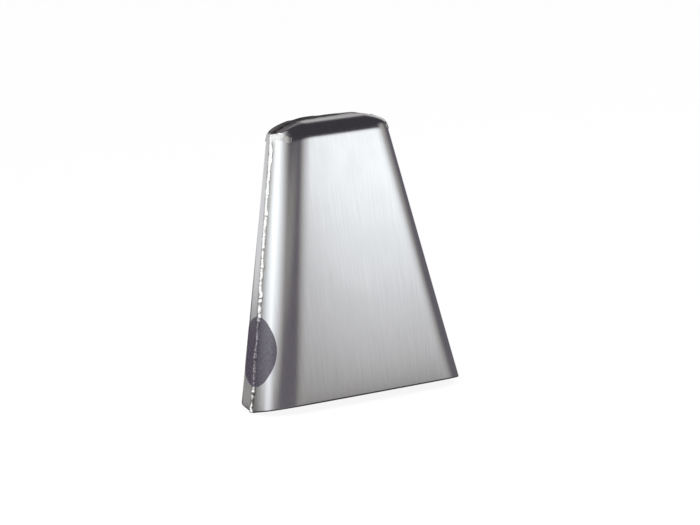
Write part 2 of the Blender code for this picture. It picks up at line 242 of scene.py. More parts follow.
def half_shell_face(layer):
    """One face of the pressing, as two grids of points and their places on the blank: the wall,
    which runs up the right side, over the head and down the left side, and the panel inside it."""
    flange_stations = np.append(np.linspace(1, 2, FLANGE_COLUMNS + 1)[1:-1], [2 - SEAM_STRIP, 2])
    stations = np.concatenate([np.linspace(0, 1, BEND_COLUMNS + 1), flange_stations])
    roll_from = 1 - HEAD_ROLL / FOLD_HEIGHT
    rows = np.linspace(0, roll_from, SIDE_ROWS + 1), np.linspace(roll_from, 1, ROLL_ROWS + 1)[1:]
    shares = np.insert(np.concatenate(rows), 1, RIM_STRIP)[:, None]
    side = side_line(between(rim_share(side_line, stations, layer), 1, shares), stations, layer)
    fan_x = np.linspace(HIP_FOOT, PANEL_CORNER_X, FAN_ROWS + 1)[1:-1, None]
    fan = head_line(PANEL_CORNER_X, fan_x, stations, layer)
    across = np.sin(np.linspace(-np.pi / 2, np.pi / 2, PANEL_COLUMNS + 1))
    over_x = PANEL_CORNER_X * across[::-1, None]
    over = head_line(over_x, over_x, stations, layer)
    for k in (0, 2):
        fan[k][:, 0] = over[k][0, 0] = side[k][-1, 0]
        over[k][-1, 0] = side[k][-1, 0] * MIRROR
    wall, wall_blank = (
        np.concatenate(
            [side[k], fan[k], over[k], fan[k][::-1] * MIRROR, side[k][::-1] * MIRROR]
        )
        for k in (0, 2)
    )
    panel_shares = between(rim_share(panel_line, across, layer), 1, shares)
    panel, _, panel_blank = panel_line(panel_shares, across, layer)
    panel[-1], panel_blank[-1] = over[0][::-1, 0], over[2][::-1, 0]
    return wall, wall_blank, panel, panel_blank


def numbered(grid, first=0):
    """The numbers of a grid's points, row by row, counted on from first."""
    return first + np.arange(grid[..., 0].size).reshape(grid.shape[:2])


def grid_faces(index):
    """Quads over a grid of point numbers, facing along its columns crossed with its rows."""
    corners = index[:-1, :-1], index[:-1, 1:], index[1:, 1:], index[1:, :-1]
    return np.stack(corners, -1).reshape(-1, 4)


def half_shell_arrays():
    """The pressing as points, quads and places on the blank: its outer face, its inner face turned
    round, and the cut edge between them with its eased corners, which follows the rim and seams."""
    turn = np.linspace(0, np.pi / 2, EDGE_STEPS + 1)
    rounding = np.stack([1 - np.cos(turn), 1 - np.sin(turn)], 1)
    outer_edge = OUTER_EDGE * rounding
    inner_edge = (SHEET, 0) + INNER_EDGE * rounding[::-1] * (-1, 1)
    layers = [tuple(edge) for edge in np.concatenate([outer_edge, inner_edge])]
    points, blanks, faces, loops = [], [], [], []
    first = 0
    for layer in layers:
        wall, wall_blank, panel, panel_blank = half_shell_face(layer)
        wall_index = numbered(wall, first)
        panel_index = numbered(panel, first + wall_index.size)
        if layer == layers[0]:
            faces += [grid_faces(wall_index), grid_faces(panel_index)]
        if layer == layers[-1]:
            faces += [grid_faces(wall_index)[:, ::-1], grid_faces(panel_index)[:, ::-1]]
        wall_edge = wall_index[0], wall_index[1:, -1], wall_index[-1, -2::-1]
        loops.append(np.concatenate([panel_index[0], *wall_edge]))
        points += [wall.reshape(-1, 3), panel.reshape(-1, 3)]
        blanks += [wall_blank.reshape(-1, 3), panel_blank.reshape(-1, 3)]
        first += wall_index.size + panel_index.size
    faces.append(grid_faces(np.stack(loops[::-1])))
    return np.concatenate(points), np.concatenate(faces), np.concatenate(blanks)


def mesh_of(name, points, faces, maps=None, attributes=None):
    """A smooth mesh of points and quads, with UV maps and attributes that give numbers to every
    point. Points that meet are merged, and faces that this leaves without area are dropped."""
    mesh = bpy.data.meshes.new(name)
    mesh.from_pydata(points, [], faces.tolist())
    corners = np.zeros(len(mesh.loops), np.int32)
    mesh.loops.foreach_get("vertex_index", corners)
    for key, values in (maps or {}).items():
        uv = values[corners].astype(np.float32).ravel()
        mesh.uv_layers.new(name=key).data.foreach_set("uv", uv)
    for key, values in (attributes or {}).items():
        attribute = mesh.attributes.new(key, "FLOAT", "POINT")
        attribute.data.foreach_set("value", values.astype(np.float32))
    bm = bmesh.new()
    bm.from_mesh(mesh)
    unused = [point for point in bm.verts if not point.link_faces]
    bmesh.ops.delete(bm, geom=unused, context="VERTS")
    bmesh.ops.remove_doubles(bm, verts=bm.verts, dist=MEETING)
    bm.to_mesh(mesh)
    bm.free()
    mesh.shade_smooth()
    return mesh


def add_piece(mesh, material, node):
    """An object for the mesh, with its name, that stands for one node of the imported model."""
    piece = bpy.data.objects.new(mesh.name, mesh)
    bpy.context.scene.collection.objects.link(piece)
    mesh.materials.append(material)
    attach(piece, "root")
    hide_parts(node)


def add_half_shell(name, turn, blank_shift, heat_and_shade_reach, material, node):
    """The pressing, turned by the factors on x and y. blank_shift sets its brushing apart, and
    heat_and_shade_reach is how far from the seam the steel is darkened, at the mouth and at the
    crown:
    heat tint from the weld, and painted shade where the flanges by the seam turn away from the
    lights."""
    points, faces, blank = half_shell_arrays()
    darkened_reach = between(*heat_and_shade_reach, points[:, 2] / BELL_LENGTH)
    maps, attributes = {"blank": blank[:, :2] + blank_shift}, {"to_seam": blank[:, 2] / darkened_reach}
    mesh = mesh_of(name, points * turn, faces, maps, attributes)
    add_piece(mesh, material, node)


def set_inputs(tree, node, inputs):
    """Sets inputs of a shader node, each to a number, a colour or another node's output."""
    for key, value in inputs.items():
        if isinstance(value, bpy.types.NodeSocket):
            tree.links.new(value, node.inputs[key])
        else:
            node.inputs[key].default_value = value


def add_node(tree, kind, inputs, **settings):
    """A new shader node with its settings and inputs."""
    node = tree.nodes.new("ShaderNode" + kind)
    for key, value in settings.items():
        setattr(node, key, value)
    set_inputs(tree, node, inputs)
    return node


def ranged(tree, value, low, high, to_low=0.0, to_high=1.0):
    """A value's smooth step from to_low, up to low, to to_high, from high on."""
    inputs = {"Value": value, 1: low, 2: high, 3: to_low, 4: to_high}
    return add_node(tree, "MapRange", inputs, interpolation_type="SMOOTHSTEP").outputs[0]


def joined(tree, operation, first, second=0.0):
    """The result of an arithmetic operation on two values, or on the first alone."""
    return add_node(tree, "Math", {0: first, 1: second}, operation=operation).outputs[0]


def blended(tree, share, first, second):
    """A colour that lies a share of the way from the first to the second."""
    inputs = {0: share, 6: first, 7: second}
    return add_node(tree, "Mix", inputs, data_type="RGBA").outputs[2]


def on_object(tree):
    """The places on a piece, in metres."""
    return add_node(tree, "TexCoord", {}).outputs["Object"]


def axes(tree, places):
    """The x, y and z of places."""
    return add_node(tree, "SeparateXYZ", {0: places}).outputs


def point_value(tree, name):
    """The number that the mesh gives to every point under a name."""
    return add_node(tree, "Attribute", {}, attribute_name=name).outputs["Fac"]


def grain(tree, places, scale, detail=3.0):
    """Noise on places stretched by a scale for each direction."""
    stretched = add_node(tree, "Mapping", {"Vector": places, "Scale": scale}).outputs[0]
    inputs = {"Vector": stretched, "Scale": 1.0, "Detail": detail}
    return add_node(tree, "TexNoise", inputs).outputs[0]


def raised(tree, height, strength, distance):
    """Directions out of a surface that is raised by up to a distance where height is 1."""
    inputs = {"Height": height, "Strength": strength, "Distance": distance}
    return add_node(tree, "Bump", inputs).outputs[0]


def new_material(name):
    """A material with its node tree and its surface shader."""
    material = bpy.data.materials.new(name)
    material.use_nodes = True
    return material, material.node_tree, material.node_tree.nodes["Principled BSDF"]


STEEL_DULL, STEEL_BRIGHT = (0.672, 0.672, 0.677, 1), (0.772, 0.772, 0.777, 1)
# The darkest tone, beside the seams, is heat tint from the weld and also painted shade, for the
# flanges there that turn their reflections away from the lights.
STEEL_HEATED_AND_SHADED = 0.22, 0.213, 0.206, 1
FINE_LINES, BROAD_LINES = (5200, 60, 1), (1700, 18, 1)
FINE_SHARE = 0.6
MOST_GRAIN = 0.3, 0.7  # most of a grain's values lie between these
LINE_RANGE, LINE_ROUGHNESS = (0.25, 0.75), (0.12, 0.19)
SMUDGES, SMUDGE_ROUGHNESS = (42, 42, 30), (0.0, 0.04)
SCRATCH_STRENGTH, SCRATCH_DEPTH = 0.06, 0.00003
BRUSHED_GLOSS = 0.4
# How far from the seam the heat tint and painted shade reach, at the mouth and at the crown; far
# wider on the front half.
FRONT_HEAT_AND_SHADE, BACK_HEAT_AND_SHADE = (0.0165, 0.0080), (0.0045, 0.0045)
HEAT_AND_SHADE_PATCHES, PATCH_RANGE = (420, 160, 1), (0.85, 1.0)
DARKENING_TOP, DARKENING_FADE = 0.192, 0.008

brushed_steel, tree, shader = new_material("brushed_steel")
on_blank = add_node(tree, "UVMap", {}, uv_map="blank").outputs[0]
on_bell = on_object(tree)
fine_lines = grain(tree, on_blank, FINE_LINES)
broad_lines = grain(tree, on_blank, BROAD_LINES)
smudges = grain(tree, on_bell, SMUDGES)
fine_part = joined(tree, "MULTIPLY", fine_lines, FINE_SHARE)
lines = joined(tree, "ADD", fine_part, joined(tree, "MULTIPLY", broad_lines, 1 - FINE_SHARE))
steel = blended(tree, ranged(tree, lines, *MOST_GRAIN), STEEL_DULL, STEEL_BRIGHT)
# Heat tint and painted shade beside the seams: full at the seam, in patches, and fading out under
# the head.
patches = ranged(tree, grain(tree, on_blank, HEAT_AND_SHADE_PATCHES), *MOST_GRAIN, *PATCH_RANGE)
near_seam = ranged(tree, point_value(tree, "to_seam"), 0.0, 1.0, 1.0, 0.0)
under_head = ranged(tree, axes(tree, on_bell)[2], DARKENING_TOP, DARKENING_TOP - DARKENING_FADE)
heat_and_shade = joined(tree, "MULTIPLY", joined(tree, "MULTIPLY", near_seam, patches), under_head)
line_roughness = ranged(tree, fine_lines, *LINE_RANGE, *LINE_ROUGHNESS)
smudge_roughness = ranged(tree, smudges, *MOST_GRAIN, *SMUDGE_ROUGHNESS)
steel_inputs = {
    "Base Color": blended(tree, heat_and_shade, steel, STEEL_HEATED_AND_SHADED),
    "Metallic": 1.0,
    "Roughness": joined(tree, "ADD", line_roughness, smudge_roughness),
    "Anisotropic": BRUSHED_GLOSS,
    "Tangent": add_node(tree, "Tangent", {}, direction_type="UV_MAP", uv_map="blank").outputs[0],
    "Normal": raised(tree, fine_lines, SCRATCH_STRENGTH, SCRATCH_DEPTH),
}
set_inputs(tree, shader, steel_inputs)

add_half_shell(
    "front_shell_sheet", (1, 1, 1), (0.0, 0.0), FRONT_HEAT_AND_SHADE, brushed_steel, "front_shell"
)

# Back half shell.
# The same pressing of brushed sheet, turned half round so that its panel faces +Y. Its edges meet
# the front half's with a gap of a millimetre, which the welds close.

BACK_BLANK_SHIFT = 0.31, 0.47

add_half_shell(
    "back_shell_sheet", (-1, -1, 1), BACK_BLANK_SHIFT, BACK_HEAT_AND_SHADE, brushed_steel, "back_shell"
)

# Side seam welds.
# Two beads of weld metal that close the seams from the rim to the hips. They are laid by hand and
# only lightly brushed, so they wander, swell and show their ripples, with browned steel along their
# toes.

SEAM_HALF_WIDTH = 0.0024
SEAM_BEAD_HEIGHT, SEAM_FULLNESS = (0.00100, 0.00045), (1.2, 2.5)  # at the rim and at the hip
SEAM_ROUGH = 1.0
SEAM_START = 0.0002
SEAM_NOSES = 0.0004, 0.0008
LEFT_SEAM_SEED, RIGHT_SEAM_SEED = 11, 23
TOE_DIP = math.radians(1.0)
SIDEWAYS = np.array([0.0, 1.0, 0.0])

BEAD_ROOT = 0.0018
BEAD_TALLEST = 0.00125
BEAD_STEP = 0.00025
BEAD_COLUMNS = 32
BEAD_SWELLS = (0.12, 9), (0.07, 3)  # the sizes of waves, and their smoothing in steps
BEAD_WANDERS = (0.22, 14), (0.08, 4)
CRUMB_SMOOTHING = 4.5, 2.5
CRUMB_RISE, CRUMB_SPREAD = 0.10, 0.05
RIPPLE_PITCH, RIPPLE_LAG = 0.0026, 0.0010
RIPPLE_RISE, RIPPLE_SHARPNESS, RIPPLE_UNEVEN = 0.06, 0.4, 2.5


def uneven(shape, smoothing, seed):
    """Random waviness of unit size on a grid that closes on itself: seeded noise, with its short
    waves damped as by a Gaussian of the given widths in grid steps."""
    noise = np.fft.fft2(np.random.default_rng(seed).normal(size=shape))
    rows, columns = np.fft.fftfreq(shape[0])[:, None], np.fft.fftfreq(shape[1])
    damping = np.exp(-2 * np.pi**2 * ((rows * smoothing[0]) ** 2 + (columns * smoothing[1]) ** 2))
    wave = np.fft.ifft2(noise * damping).real
    return (wave - wave.mean()) / wave.std()


def waves(count, parts, seed):
    """Waviness along a path: the sum of random waves, each with its size and smoothing, and with
    the next seed."""
    return sum(
        size * uneven((count, 1), (smoothing, 1), seed + k)
        for k, (size, smoothing) in enumerate(parts)
    )


def weld_bead(path, outward, sideways, width, height, noses, seed, form):
    """A bead along a path, as points, quads and how close each point is to a toe.

    The section is a ring: half a round of the bead's height outside the sheet and half a deeper one
    in the gap. It wanders sideways, swells, and carries ripples that trail back from the middle,
    and crumbs. Noses are the lengths over which its two ends are rounded off. form gives the power
    of the round, over 1 for flanks that flatten out, how rough the bead is, and how far the sheet
    leans away on both sides of it.
    """
    fullness, rough, lean = form
    steps = np.linalg.norm(np.diff(path, axis=0), axis=1)
    run = np.concatenate([[0], np.cumsum(steps)])[:, None]
    count = len(path)
    turn = np.linspace(0, 2 * np.pi, BEAD_COLUMNS + 1)
    start, end = (np.clip(way / nose, 0, 1) for way, nose in zip((run, run[-1] - run), noses))
    nose = np.sqrt(start * (2 - start)) * np.sqrt(end * (2 - end))
    swell = 1 + rough * waves(count, BEAD_SWELLS, seed)
    wander = rough * width * waves(count, BEAD_WANDERS, seed + 2)
    crumbs = rough * uneven((count, BEAD_COLUMNS), CRUMB_SMOOTHING, seed + 4)
    crumbs = np.concatenate([crumbs, crumbs[:, :1]], 1)
    trail = RIPPLE_LAG * np.cos(turn) ** 2
    phase = 2 * np.pi * (run + trail + RIPPLE_UNEVEN * wander) / RIPPLE_PITCH
    ripple = rough * RIPPLE_RISE * (np.sin(phase) + RIPPLE_SHARPNESS * np.sin(2 * phase))
    lift = np.sin(turn)
    rise = np.minimum(height * swell * (1 + ripple + CRUMB_RISE * crumbs), BEAD_TALLEST)
    up = nose * np.where(lift > 0, rise * np.maximum(lift, 0) ** fullness, BEAD_ROOT * lift)
    side = nose * (wander + width * swell * (1 + CRUMB_SPREAD * crumbs) * np.cos(turn))
    up = up - np.abs(side) * np.tan(lean)
    rings = path[:, None] + side[..., None] * sideways + up[..., None] * outward[:, None]
    index = numbered(rings)
    toe = np.broadcast_to(np.abs(np.cos(turn)), index.shape)
    return rings.reshape(-1, 3), grid_faces(index)[:, ::-1], toe.ravel()


def add_weld(name, bead, mirror, material, node):
    """A bead mirrored by the factors on x and y; an odd number of mirrorings turns its faces."""
    points, faces, toe = bead
    step = int(np.prod(mirror))
    mesh = mesh_of(name, points * mirror, faces[:, ::step], attributes={"toe": toe})
    add_piece(mesh, material, node)


WELD_TONES = (0.74, 0.72, 0.69, 1), (0.88, 0.87, 0.86, 1), (0.50, 0.40, 0.30, 1)
WELD_PITTING, PIT_DEPTH = 0.08, 0.0001
WELD_ROUGHNESS = 0.30, 0.18
FLECK_RANGE = 0.5, 0.64
WELD_SPOTS, SPOT_DETAIL, SPOT_RANGE = (700, 700, 700), 4.0, (0.35, 0.6)
WELD_FLECKS = 330, 330, 330
TOE_RANGE = 0.75, 0.98


def weld_metal(
    name, tones, pitting=WELD_PITTING, roughness=WELD_ROUGHNESS, fleck_range=FLECK_RANGE
):
    """Weld metal spotted with a dull and a bright tone, each with its roughness, and darkened in
    flecks
    along its toes by a third tone: browned steel on the seams, and painted shade under the corner
    nubs."""
    material, tree, shader = new_material(name)
    dull, bright, browned_and_shade = tones
    on_bead = on_object(tree)
    spots = grain(tree, on_bead, WELD_SPOTS, SPOT_DETAIL)
    at_toe = ranged(tree, point_value(tree, "toe"), *TOE_RANGE)
    flecks = ranged(tree, grain(tree, on_bead, WELD_FLECKS), *fleck_range)
    metal = blended(tree, ranged(tree, spots, *SPOT_RANGE), dull, bright)
    inputs = {
        "Base Color": blended(tree, joined(tree, "MULTIPLY", at_toe, flecks), metal, browned_and_shade),
        "Metallic": 1.0,
        "Roughness": ranged(tree, spots, *MOST_GRAIN, *roughness),
        "Normal": raised(tree, spots, pitting, PIT_DEPTH),
    }
    set_inputs(tree, shader, inputs)
    return material, tree, shader


weld_steel, tree, shader = weld_metal("weld_steel", WELD_TONES)

seam_heights = np.arange(SEAM_START, SEAM_TOP + BEAD_STEP, BEAD_STEP)
seam_path = np.stack([seam_half_width(seam_heights), 0 * seam_heights, seam_heights], 1)
seam_outward = np.tile([math.cos(SEAM_TILT), 0.0, math.sin(SEAM_TILT)], (len(seam_heights), 1))
seam_rise, fullness, lean = (
    between(*ends, seam_heights / SEAM_TOP)[:, None]
    for ends in (SEAM_BEAD_HEIGHT, SEAM_FULLNESS, SIDE_LEAN)
)
seam_form = fullness, SEAM_ROUGH, lean + TOE_DIP
left_seam_bead, right_seam_bead = (
    weld_bead(
        seam_path, seam_outward, SIDEWAYS, SEAM_HALF_WIDTH, seam_rise, SEAM_NOSES, seed, seam_form
    )
    for seed in (LEFT_SEAM_SEED, RIGHT_SEAM_SEED)
)
add_weld("left_seam_bead", left_seam_bead, (-1, 1, 1), weld_steel, "left_seam_weld")
add_weld("right_seam_bead", right_seam_bead, (1, 1, 1), weld_steel, "right_seam_weld")

# Crown weld.
# One bead of weld metal over the crown, from hip to hip, which joins the two halves of the head. It
# still carries its dark scale, but for its right end, brushed down bright round one island of it.

CROWN_HALF_WIDTH, CROWN_HEIGHT = 0.0030, 0.00115
CROWN_FORM = 1.75, 0.45, HEAD_PITCH + TOE_DIP
CROWN_NOSES = 0.0006, 0.0006
CROWN_SEED = 37
BRUSHED_DOWN, DOWN_FROM = 0.85, (-0.012, 0.0280)
BRIGHT_FROM = 0.0240, 0.0285
ISLAND_START, ISLAND_END = (0.0325, 0.0360), (0.0425, 0.0395)
ISLAND_RISE = 0.1
SCALE_TONES = (0.012, 0.010, 0.011, 1), (0.035, 0.033, 0.034, 1), (0.022, 0.016, 0.013, 1)
SCALE_GLOSS = 0.25
SCALE_EDGES, EDGE_WANDER = (800, 800, 800), 0.0014

crown_x = np.linspace(HIP_FOOT, -HIP_FOOT, round(2 * HIP_FOOT / BEAD_STEP))
crown_path = np.stack([crown_x, 0 * crown_x, crown_height(crown_x)], 1)
slope = np.gradient(crown_path[:, 2], crown_x)
crown_outward = np.stack([-slope, 0 * slope, np.ones_like(slope)], 1) / np.hypot(slope, 1)[:, None]


def eased(value, start, full):
    """A smooth step of the value, from 0 at start to 1 at full."""
    share = np.clip((value - start) / (full - start), 0, 1)
    return share**2 * (3 - 2 * share)


island = eased(crown_x, *ISLAND_START) * eased(crown_x, *ISLAND_END)
lowered = BRUSHED_DOWN * eased(crown_x, *DOWN_FROM) * (1 - island)
crown_rise = CROWN_HEIGHT * (1 + ISLAND_RISE * island - lowered)[:, None]
crown_bead = weld_bead(
    crown_path,
    crown_outward,
    SIDEWAYS,
    CROWN_HALF_WIDTH,
    crown_rise,
    CROWN_NOSES,
    CROWN_SEED,
    CROWN_FORM,
)

scaled_weld, tree, shader = weld_metal("scaled_weld", SCALE_TONES)
on_bead = on_object(tree)
edges = grain(tree, on_bead, SCALE_EDGES)
wander = ranged(tree, edges, *MOST_GRAIN, -EDGE_WANDER, EDGE_WANDER)
along = joined(tree, "ADD", axes(tree, on_bead)[0], wander)
after_start, before_end = ranged(tree, along, *ISLAND_START), ranged(tree, along, *ISLAND_END)
off_island = joined(tree, "SUBTRACT", 1.0, joined(tree, "MULTIPLY", after_start, before_end))
brushed = joined(tree, "MULTIPLY", ranged(tree, along, *BRIGHT_FROM), off_island)
scale = shader.inputs["Base Color"].links[0].from_socket
scale_inputs = {
    "Base Color": blended(tree, brushed, scale, STEEL_BRIGHT),
    "Metallic": brushed,
    "Specular IOR Level": SCALE_GLOSS,
}
set_inputs(tree, shader, scale_inputs)
add_weld("crown_bead", crown_bead, (1, 1, 1), scaled_weld, "crown_weld")

# Corner welds.
# A short bead on each of the head's four corners closes the slit between the side and the head. It
# is brushed down flush, apart from the nub at its end, where the rod was lifted off.

CORNER_HALF_WIDTH, CORNER_HEIGHT, CORNER_DROP = 0.0020, 0.00018, 0.0014
CORNER_FORM = 0.6, 0.06, 0.0
CORNER_NOSES = 0.0006, 0.0010
NUB_LENGTH = 0.0050
NUB_RISE, NUB_SPREAD, NUB_DROOP, NUB_SHADE = 2.2, 0.40, 0.0007, 1.4
# The corner welds' third tone is painted shade: nearly black on the toes round the nub, where its
# undercut edge throws shade, with flecks that cover most of them.
FLUSHED_TONES_AND_SHADE = (0.72, 0.71, 0.69, 1), (0.84, 0.83, 0.81, 1), (0.12, 0.10, 0.09, 1)
FLUSHED_PITTING, FLUSHED_ROUGHNESS, FLUSHED_SHADE_FLECKS = 0.01, (0.50, 0.42), (0.2, 0.4)
CORNERS = {  # the mirroring of the right front corner, the bead's length and its seed
    "front_left": ((-1, 1, 1), 0.0210, 41),
    "front_right": ((1, 1, 1), 0.0165, 53),
    "back_left": ((-1, -1, 1), 0.0165, 67),
    "back_right": ((1, -1, 1), 0.0185, 79),
}


def side_at(share, from_seam):
    """Points on the right side by their distance from the seam, round the bell, and the directions
    out: as far along the flange as its length allows, then round the arc."""
    flange = side_line(share, np.ones_like(from_seam))[2][..., 2]
    total = side_line(share, np.zeros_like(from_seam))[2][..., 2]
    on_arc = 1 - (from_seam - flange) / (total - flange)
    return side_line(share, np.where(from_seam < flange, 2 - from_seam / flange, on_arc))[:2]


hip_run = np.array([HIP_FOOT - PANEL_CORNER_X, 0.0, SEAM_TOP - FOLD_HEIGHT])
hip_sideways = np.array([-hip_run[2], 0.0, hip_run[0]]) / np.linalg.norm(hip_run)


def corner_bead(length, seed):
    """A bead from the seam along the right front corner, laid a little below its ridge: low, and
    near its end wider and higher by a bell curve, by which it also droops. Only there are its toes
    darkened, as painted shade under the nub."""
    from_seam = np.arange(0.0, length, BEAD_STEP)
    path, outward = side_at(np.ones_like(from_seam), from_seam)
    nub = np.exp(-((2 * (length - from_seam) / NUB_LENGTH - 1) ** 2))[:, None]
    path = path - (CORNER_DROP + NUB_DROOP * nub) * hip_sideways
    width = CORNER_HALF_WIDTH * (1 + NUB_SPREAD * nub)
    height = CORNER_HEIGHT * (1 + NUB_RISE * nub)
    points, faces, toe = weld_bead(
        path, outward, hip_sideways, width, height, CORNER_NOSES, seed, CORNER_FORM
    )
    return points, faces, toe * np.repeat(np.minimum(NUB_SHADE * nub, 1), BEAD_COLUMNS + 1)


flushed_weld, tree, shader = weld_metal(
    "flushed_weld", FLUSHED_TONES_AND_SHADE, FLUSHED_PITTING, FLUSHED_ROUGHNESS, FLUSHED_SHADE_FLECKS
)
for corner, (mirror, length, seed) in CORNERS.items():
    bead = corner_bead(length, seed)
    add_weld(corner + "_corner_bead", bead, mirror, flushed_weld, corner + "_corner_weld")

# Side label.
# A disc of thin smoke-coloured film, glued round the left seam near the mouth. It is drawn down
# over the bead, which shows through it as a ridge, and some of the steel's gleam comes through it.

LABEL_RADIUS = 0.0245
LABEL_HEIGHT = 0.0424
FILM = 0.00015
GLUE = 0.00003
DRAPE, DRAPE_POWER = 0.0031, 4
CREST_STEPS = 7
LABEL_COLUMNS, LABEL_ROWS = 160, 96
FILM_TONES = (0.052, 0.040, 0.068, 1), (0.062, 0.048, 0.080, 1)
FILM_ROUGHNESS = 0.10, 0.15
FILM_GLOSS, FILM_OPACITY = 0.35, 0.42
FILM_HAZE, FILM_PEEL = (160, 160, 60), (900, 900, 900)
PEEL_STRENGTH, PEEL_DEPTH = 0.05, 0.00005


def label_face(lift):
    """The film's face at a lift off the steel: columns along the seam, each as long as the disc is
    there. The film rides over the bead's crest, evened out along it, in a flat-topped bell curve of
    the distance from it."""
    turn = np.linspace(-1, 1, LABEL_COLUMNS + 1)[:, None] * np.pi / 2
    along = LABEL_RADIUS * np.cos(turn) * np.linspace(-1, 1, LABEL_ROWS + 1)
    across = np.broadcast_to(LABEL_RADIUS * np.sin(turn), along.shape)
    height = LABEL_HEIGHT + along * math.cos(SEAM_TILT)
    place, outward = side_at(height / SEAM_TOP, np.maximum(np.abs(across) - ROOT_GAP / 2, 0))
    bead_rings = left_seam_bead[0].reshape(len(seam_heights), -1, 3)
    crest = bead_rings[:, BEAD_COLUMNS // 4] - seam_path
    even = np.ones(CREST_STEPS) / CREST_STEPS
    crest_out, crest_across = (
        np.interp(height, seam_heights, np.convolve(column, even, "same")) for column in crest.T[:2]
    )
    near = np.exp(-(((across + crest_across) / DRAPE) ** DRAPE_POWER))
    outward = outward * np.stack([np.ones_like(near), 1 - near, np.ones_like(near)], -1)
    outward = outward / np.linalg.norm(outward, axis=-1, keepdims=True)
    front = place + outward * (lift + crest_out * near)[..., None]
    depth = np.where(np.abs(across) < ROOT_GAP / 2, np.abs(across), -front[..., 1])
    return np.stack([-front[..., 0], -depth * np.sign(across), front[..., 2]], -1)


outer_film, inner_film = label_face(GLUE + FILM), label_face(GLUE)
outer_index = numbered(outer_film)
inner_index = numbered(inner_film, outer_index.size)
film_edges = [
    np.concatenate([index[:, 0], index[-2:0:-1, -1], index[:1, 0]])
    for index in (outer_index, inner_index)
]
film_faces = np.concatenate(
    [
        grid_faces(outer_index)[:, ::-1],
        grid_faces(inner_index),
        grid_faces(np.stack(film_edges)),
    ]
)
film_points = np.concatenate([outer_film.reshape(-1, 3), inner_film.reshape(-1, 3)])
film_mesh = mesh_of("label_film", film_points, film_faces)

smoke_film, tree, shader = new_material("smoke_film")
on_film = on_object(tree)
haze = grain(tree, on_film, FILM_HAZE)
film_inputs = {
    "Base Color": blended(tree, haze, *FILM_TONES),
    "Roughness": ranged(tree, haze, *MOST_GRAIN, *FILM_ROUGHNESS),
    "Specular IOR Level": FILM_GLOSS,
    "Alpha": FILM_OPACITY,
    "Normal": raised(tree, grain(tree, on_film, FILM_PEEL), PEEL_STRENGTH, PEEL_DEPTH),
}
set_inputs(tree, shader, film_inputs)
add_piece(film_mesh, smoke_film, "side_label")

# Floor, backdrop and light.
# A plain pale floor in a white room with two soft lamps. For the steel there is a tent of cloth
# that only reflections see: a soft light to the right of the camera, a large one on the left, pale
# cloth behind, and dark cloth beside the camera and overhead, over a grey ground sheet.

FLOOR_SIZE = 30.0
FLOOR_HEIGHT = -0.0006
FLOOR_PAINT = {"Base Color": (0.95, 0.95, 0.95, 1), "Roughness": 0.9, "Specular IOR Level": 0.1}
SHADOW_SHARE = 0.09
WHITE = 1, 1, 1, 1

floor_mesh = bpy.data.meshes.new("floor")
floor_corners = np.array([(-1, -1), (1, -1), (1, 1), (-1, 1)]) * FLOOR_SIZE
floor_points = np.column_stack([floor_corners, np.full(len(floor_corners), FLOOR_HEIGHT)])
floor_mesh.from_pydata(floor_points, [], [(0, 1, 2, 3)])
floor = bpy.data.objects.new("floor", floor_mesh)
bpy.context.scene.collection.objects.link(floor)


def seen_directly(tree):
    """1 for the rays that show a surface as it looks: straight to the camera, in a mirror or
    through glass."""
    path = add_node(tree, "LightPath", {}).outputs
    shown = joined(tree, "ADD", path["Is Camera Ray"], path["Is Glossy Ray"])
    return joined(tree, "MINIMUM", joined(tree, "ADD", shown, path["Is Transmission Ray"]), 1.0)


floor_paint, tree, shader = new_material("floor_paint")
set_inputs(tree, shader, FLOOR_PAINT)
white = add_node(tree, "Emission", {"Color": WHITE, "Strength": 1.0}).outputs[0]
share = joined(tree, "MULTIPLY", seen_directly(tree), 1 - SHADOW_SHARE)
painted = add_node(tree, "MixShader", {0: share, 1: shader.outputs[0], 2: white}).outputs[0]
tree.links.new(painted, tree.nodes["Material Output"].inputs["Surface"])
floor_mesh.materials.append(floor_paint)

ROOM_LIGHT = 0.9

world = bpy.data.worlds.new("studio")
world.use_nodes = True
bpy.context.scene.world = world
tree = world.node_tree
room = ranged(tree, seen_directly(tree), 0.0, 1.0, ROOM_LIGHT, 1.0)
set_inputs(tree, tree.nodes["Background"], {"Color": WHITE, "Strength": room})

LAMP_AIM = 0, 0, 0.1
LAMPS = {  # the place, size and power of each
    "left_lamp": ((-1.3, -0.7, 1.2), 1.2, 20),
    "right_lamp": ((0.7, -1.4, 1.1), 1.0, 16),
}


def set_in_place(thing, right, up, back, place):
    """Puts a lamp or camera at a place, with its own three directions as columns of a matrix."""
    matrix = np.eye(4)
    matrix[:3] = np.stack([right, up, back, place], 1)
    thing.matrix_world = Matrix(matrix.tolist())


def add_lamp(name, place, size, power):
    """A square soft lamp at a place, turned to its aim; the tent stands for it in reflections."""
    data = bpy.data.lights.new(name, "AREA")
    data.size, data.energy = size, power
    lamp = bpy.data.objects.new(name, data)
    back = np.subtract(place, LAMP_AIM) / np.linalg.norm(np.subtract(place, LAMP_AIM))
    right = np.cross([0, 0, 1], back) / np.linalg.norm(np.cross([0, 0, 1], back))
    set_in_place(lamp, right, np.cross(back, right), back, place)
    lamp.visible_glossy = False
    bpy.context.scene.collection.objects.link(lamp)


for lamp_name, lamp_settings in LAMPS.items():
    add_lamp(lamp_name, *lamp_settings)

TENT_RADIUS = 0.9
TENT_MIDDLE = 0.100
TENT_STEPS = 96
GROUND_SHEET = -0.0003

